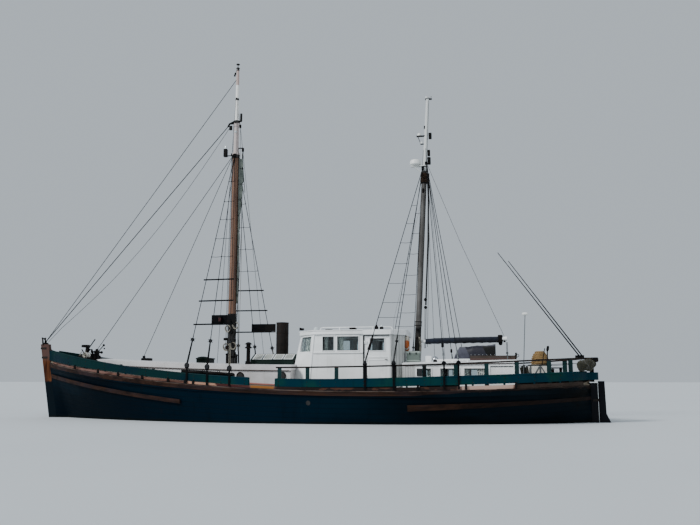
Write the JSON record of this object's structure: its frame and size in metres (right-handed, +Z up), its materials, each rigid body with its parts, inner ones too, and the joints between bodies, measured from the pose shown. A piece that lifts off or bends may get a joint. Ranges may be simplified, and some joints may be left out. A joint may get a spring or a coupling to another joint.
{
  "type": "ketch",
  "caption": "Wooden double-ended ketch of fishing-boat build with wheelhouse, trunk cabins, two masts and outboard rudder, afloat.",
  "frame": {"origin": "on the centreline at the waterline, midway along the waterline length", "axes": "+X aft, -Y to port, +Z up"},
  "size_m": [22.0908, 5.7084, 16.155],
  "materials": {
    "hull_paint": "teal gloss paint on planks, worn",
    "deck_planks": "bare weathered deck planks",
    "stem_wood": "oiled timber, worn",
    "keel_paint": "matt red bottom paint",
    "post_paint": "dark paint on timber",
    "bronze": "cast bronze",
    "strake_wood": "weathered hardwood with pale edges",
    "board_wood": "oiled timber",
    "trim_paint": "green teal gloss paint on timber",
    "white_paint": "white gloss paint",
    "black_iron": "black painted iron",
    "glass": "clear window glass",
    "varnish": "varnished spruce",
    "bare_wood": "grey weathered spruce, white at its head",
    "hatch_wood": "faded brown timber",
    "hood_cloth": "faded blue grey canvas",
    "dome_plastic": "white moulded plastic",
    "rigging": "tarred wire and iron",
    "cover_cloth": "navy canvas",
    "sail_cloth": "pale grey green sailcloth",
    "ring_plastic": "orange foam plastic"
  },
  "bodies": {
    "vessel": {"hull": "hull_paint", "deck": "deck_planks", "stem_post": "stem_wood", "keel": "keel_paint", "stern_post": "post_paint", "rub_rail_port": "strake_wood", "rub_rail_starboard": "strake_wood", "bow_strake_port": "strake_wood", "bow_strake_starboard": "strake_wood", "quarter_strake_port": "strake_wood", "quarter_strake_starboard": "strake_wood", "covering_board_port": "board_wood", "covering_board_starboard": "board_wood", "bow_bulwark_port": "trim_paint", "bow_bulwark_starboard": "trim_paint", "stern_bulwark": "trim_paint", "stern_rail": "trim_paint", "trunk_walls": "white_paint", "trunk_roof": "white_paint", "fore_hatch_coaming": "trim_paint", "skylight_box": "trim_paint", "vent_stack": "black_iron", "funnel": "black_iron", "wheelhouse_walls": "white_paint", "wheelhouse_roof": "white_paint", "wheelhouse_glass": "glass", "helm_stand": "varnish", "cabin_walls": "white_paint", "cabin_roof": "white_paint", "cabin_glass": "glass", "companion_garage": "hatch_wood", "spray_hood": "hood_cloth", "roof_locker": "white_paint", "main_mast": "varnish", "mizzen_mast": "bare_wood", "radar_dome": "dome_plastic", "main_shrouds_port": "rigging", "main_shrouds_starboard": "rigging", "mizzen_shrouds_port": "rigging", "mizzen_shrouds_starboard": "rigging", "mizzen_backstays_port": "rigging", "mizzen_backstays_starboard": "rigging", "head_stays": "rigging", "inner_stays": "rigging", "windlass": "black_iron", "furled_sail": "sail_cloth", "stern_poles": "black_iron", "life_ring": "ring_plastic"},
    "rudder": {"rudder": "post_paint"},
    "propeller": {"propeller": "bronze"},
    "helm": {"steering_wheel": "varnish"},
    "port_door": {"wheelhouse_door_port": "white_paint"},
    "starboard_door": {"wheelhouse_door_starboard": "white_paint"},
    "fore_hatch": {"fore_hatch_lid": "trim_paint"},
    "port_lid": {"skylight_lid_port": "white_paint"},
    "starboard_lid": {"skylight_lid_starboard": "white_paint"},
    "companion": {"companion_hatch": "hatch_wood"},
    "boom": {"mizzen_boom": "white_paint", "mizzen_sail_cover": "cover_cloth"}
  },
  "joints": [
    {"name": "rudder_turn", "type": "hinge", "parent": "vessel", "child": "rudder", "pos_m": [10.285, 0, -0.5], "axis": [0, 0, 1], "range_deg": [-35, 35]},
    {"name": "propeller_spin", "type": "hinge", "parent": "vessel", "child": "propeller", "pos_m": [9.66, 0, -1.4], "axis": [1, 0, 0], "continuous": true},
    {"name": "helm_turn", "type": "hinge", "parent": "vessel", "child": "helm", "pos_m": [0.925, 0, 2.08], "axis": [1, 0, 0], "range_deg": [-540, 540]},
    {"name": "port_door_swing", "type": "hinge", "parent": "vessel", "child": "port_door", "pos_m": [2.416, -1.5103, 2.1], "axis": [0, 0, 1], "range_deg": [-105, 0]},
    {"name": "starboard_door_swing", "type": "hinge", "parent": "vessel", "child": "starboard_door", "pos_m": [2.416, 1.5103, 2.1], "axis": [0, 0, 1], "range_deg": [0, 105]},
    {"name": "fore_hatch_lift", "type": "hinge", "parent": "vessel", "child": "fore_hatch", "pos_m": [-3.656, 0, 2.2172], "axis": [0, 1, 0], "range_deg": [0, 100]},
    {"name": "port_lid_lift", "type": "hinge", "parent": "vessel", "child": "port_lid", "pos_m": [-1.1, -0.281, 2.361], "axis": [1, 0, 0], "range_deg": [-60, 0]},
    {"name": "starboard_lid_lift", "type": "hinge", "parent": "vessel", "child": "starboard_lid", "pos_m": [-1.1, -0.219, 2.361], "axis": [1, 0, 0], "range_deg": [0, 60]},
    {"name": "companion_slide", "type": "slide", "parent": "vessel", "child": "companion", "axis": [-1, 0, 0], "range_m": [0, 0.55]},
    {"name": "boom_swing", "type": "hinge", "parent": "vessel", "child": "boom", "pos_m": [4.2303, 0, 2.79], "axis": [0.054, 0, 0.9985], "range_deg": [-45, 45]}
  ],
  "couplings": [
    {"joint": "helm_turn", "follows": "rudder_turn", "ratio": 15.4}
  ]
}
